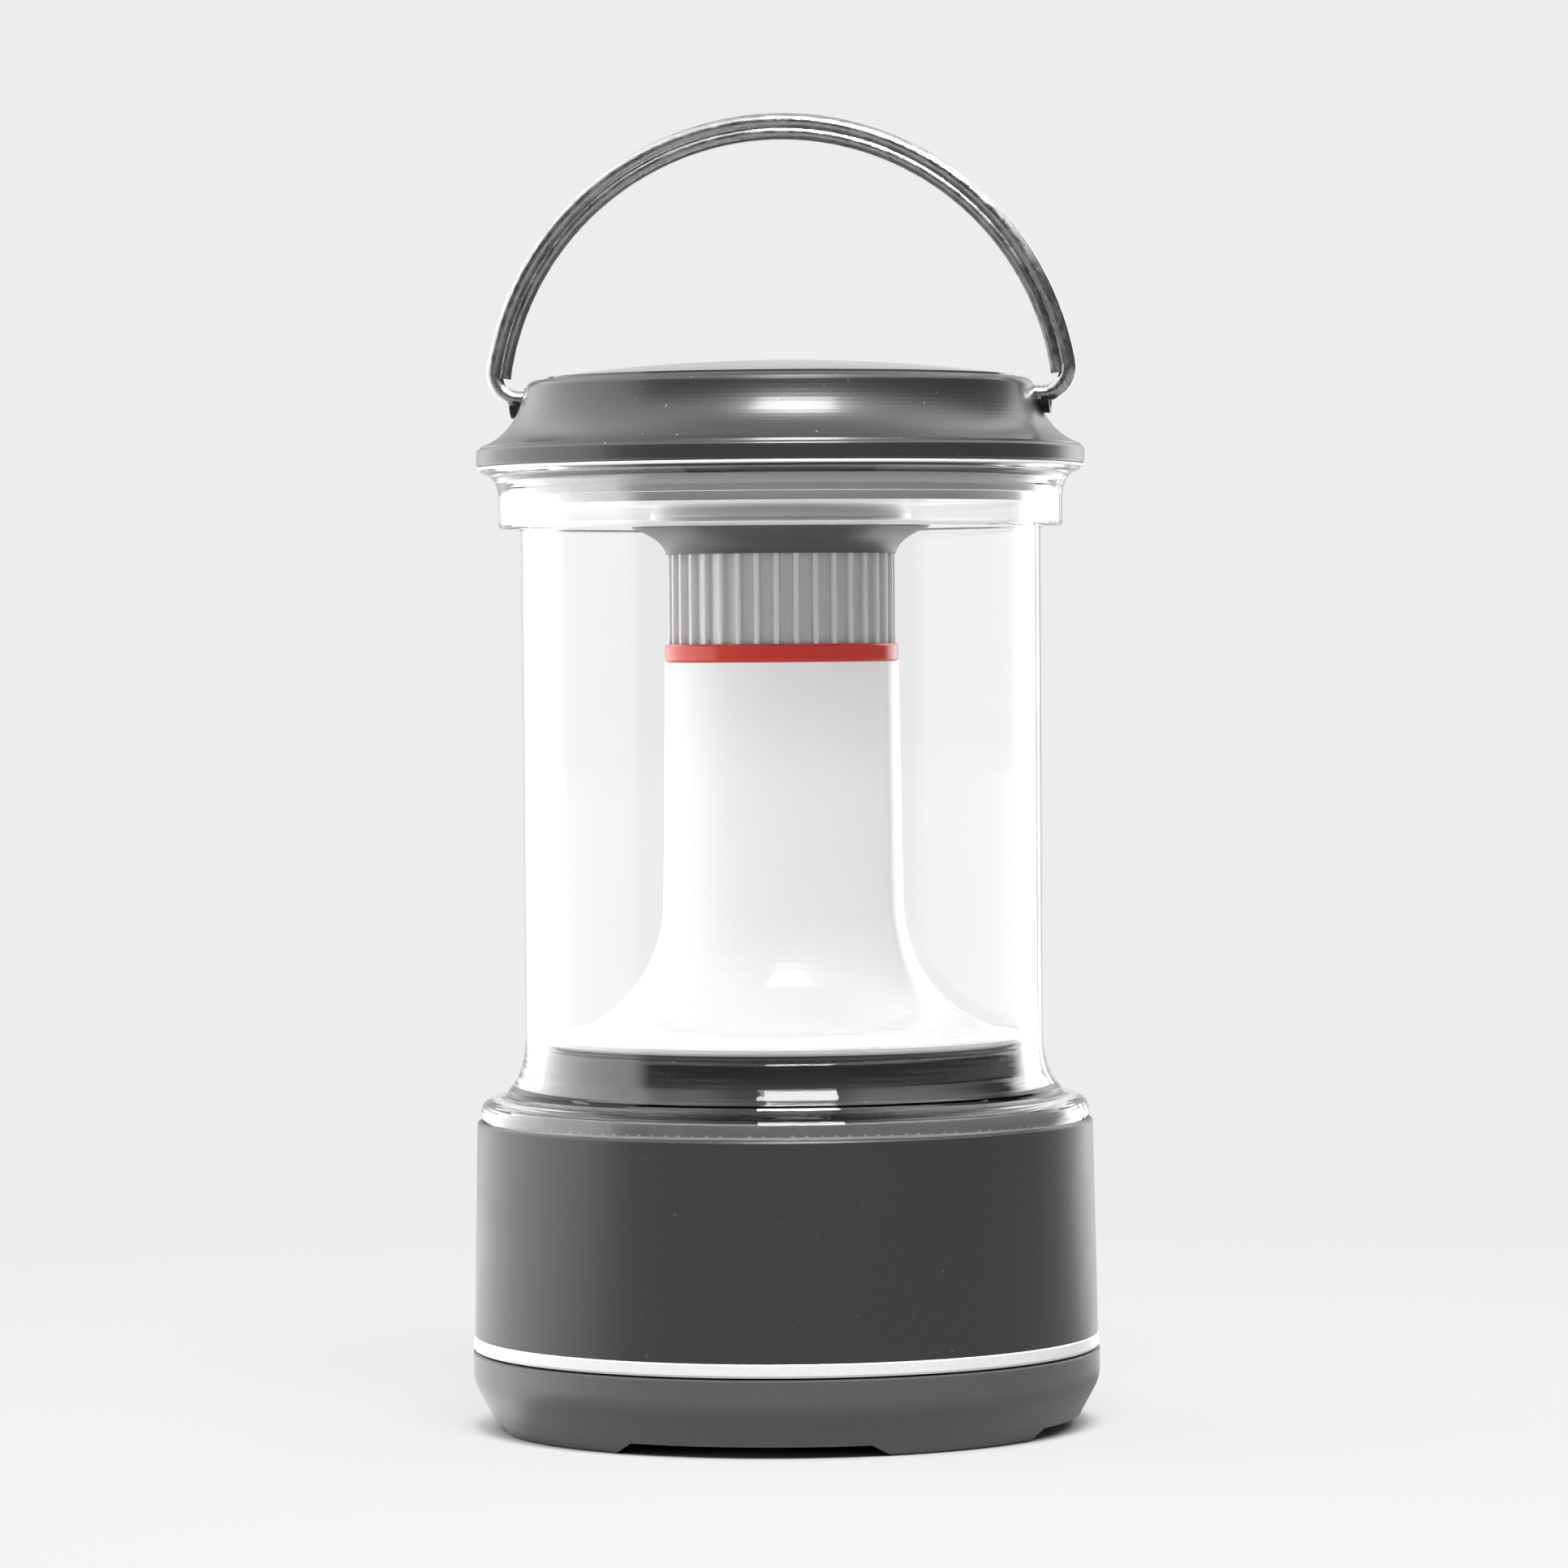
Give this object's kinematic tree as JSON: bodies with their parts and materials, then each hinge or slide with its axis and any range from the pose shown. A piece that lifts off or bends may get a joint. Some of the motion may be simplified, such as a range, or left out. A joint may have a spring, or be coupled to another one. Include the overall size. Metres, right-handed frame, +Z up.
{
  "type": "camping lantern",
  "caption": "Battery camping lantern with a clear globe, a trumpet-shaped diffuser under a ribbed heat sink, a wide cap, a swinging bail and a twist-off foot.",
  "frame": {"origin": "centre of the underside of the foot, on the surface the lantern stands on", "axes": "+Z up along the lantern's axis, +X along the bail's pivot axis, +Y towards the side with the push button"},
  "size_m": [0.12, 0.12, 0.2509],
  "materials": {
    "shell_grey": "satin moulded",
    "foot_rubber": "matte",
    "trim_white": "satin",
    "shoulder_black": "glossy",
    "clear_plastic": "clear",
    "diffuser_white": "translucent satin",
    "accent_red": "translucent gloss",
    "sink_silver": "satin ribbed",
    "ceiling_grey": "satin",
    "collar_grey": "satin",
    "cap_grey": "satin metallic",
    "plate_grey": "glossy",
    "bail_steel": "polished",
    "button_grey": "soft satin",
    "bezel_grey": "satin",
    "inner_grey": "moulded",
    "inner_white": "moulded",
    "seal_black": "matte",
    "seal_pale": "translucent matte",
    "circuit_green": "solder mask",
    "component_black": "moulded",
    "chip_yellow": "phosphor",
    "wire_red": "insulation",
    "screw_steel": "zinc plated",
    "contact_brass": "plated",
    "cell_jacket": "printed jacket, plain"
  },
  "bodies": {
    "lantern": {"base_shell": "shell_grey", "trim_ring": "trim_white", "shoulder_ring": "shoulder_black", "battery_housing": "inner_grey", "base_screws": "screw_steel", "battery_carrier": "inner_grey", "battery_cells": "cell_jacket", "cell_terminals": "screw_steel", "lower_contacts": "contact_brass", "upper_contacts": "contact_brass", "contact_springs": "screw_steel", "button_bezel": "bezel_grey", "switch_board": "circuit_green", "power_switch": "component_black", "reflector_cone": "inner_white", "driver_board": "circuit_green", "driver_parts": "component_black", "board_screws": "screw_steel", "wire_tube": "inner_white", "lead_wires": "wire_red", "battery_leads": "wire_red", "diffuser": "diffuser_white", "accent_ring": "accent_red", "lamp_board": "inner_white", "lamp_chips": "chip_yellow", "lamp_screws": "screw_steel", "heat_sink": "sink_silver", "sink_screws": "screw_steel", "sink_collar": "collar_grey", "ceiling_reflector": "ceiling_grey", "lower_seal": "seal_pale", "globe": "clear_plastic", "globe_collar": "clear_plastic", "upper_seal": "seal_pale", "top_cap": "cap_grey", "cap_screws": "screw_steel", "cap_top_plate": "plate_grey"},
    "bail": {"bail_wire": "bail_steel", "bail_liner": "bail_steel", "bail_clips": "screw_steel"},
    "button": {"power_button": "button_grey"},
    "door": {"battery_door": "inner_grey", "foot_sleeve": "foot_rubber", "door_gasket": "seal_black"}
  },
  "joints": [
    {"name": "bail_swing", "type": "hinge", "parent": "lantern", "child": "bail", "pos_m": [0, 0, 0.1968], "axis": [1, 0, 0], "range_deg": [-84, 84]},
    {"name": "button_press", "type": "slide", "parent": "lantern", "child": "button", "axis": [0, -1, 0], "range_m": [0, 0.0012], "stiffness_N_per_m": 800},
    {"name": "door_twist", "type": "hinge", "parent": "lantern", "child": "door", "pos_m": [0, 0, 0], "axis": [0, 0, 1], "range_deg": [0, 45]}
  ]
}
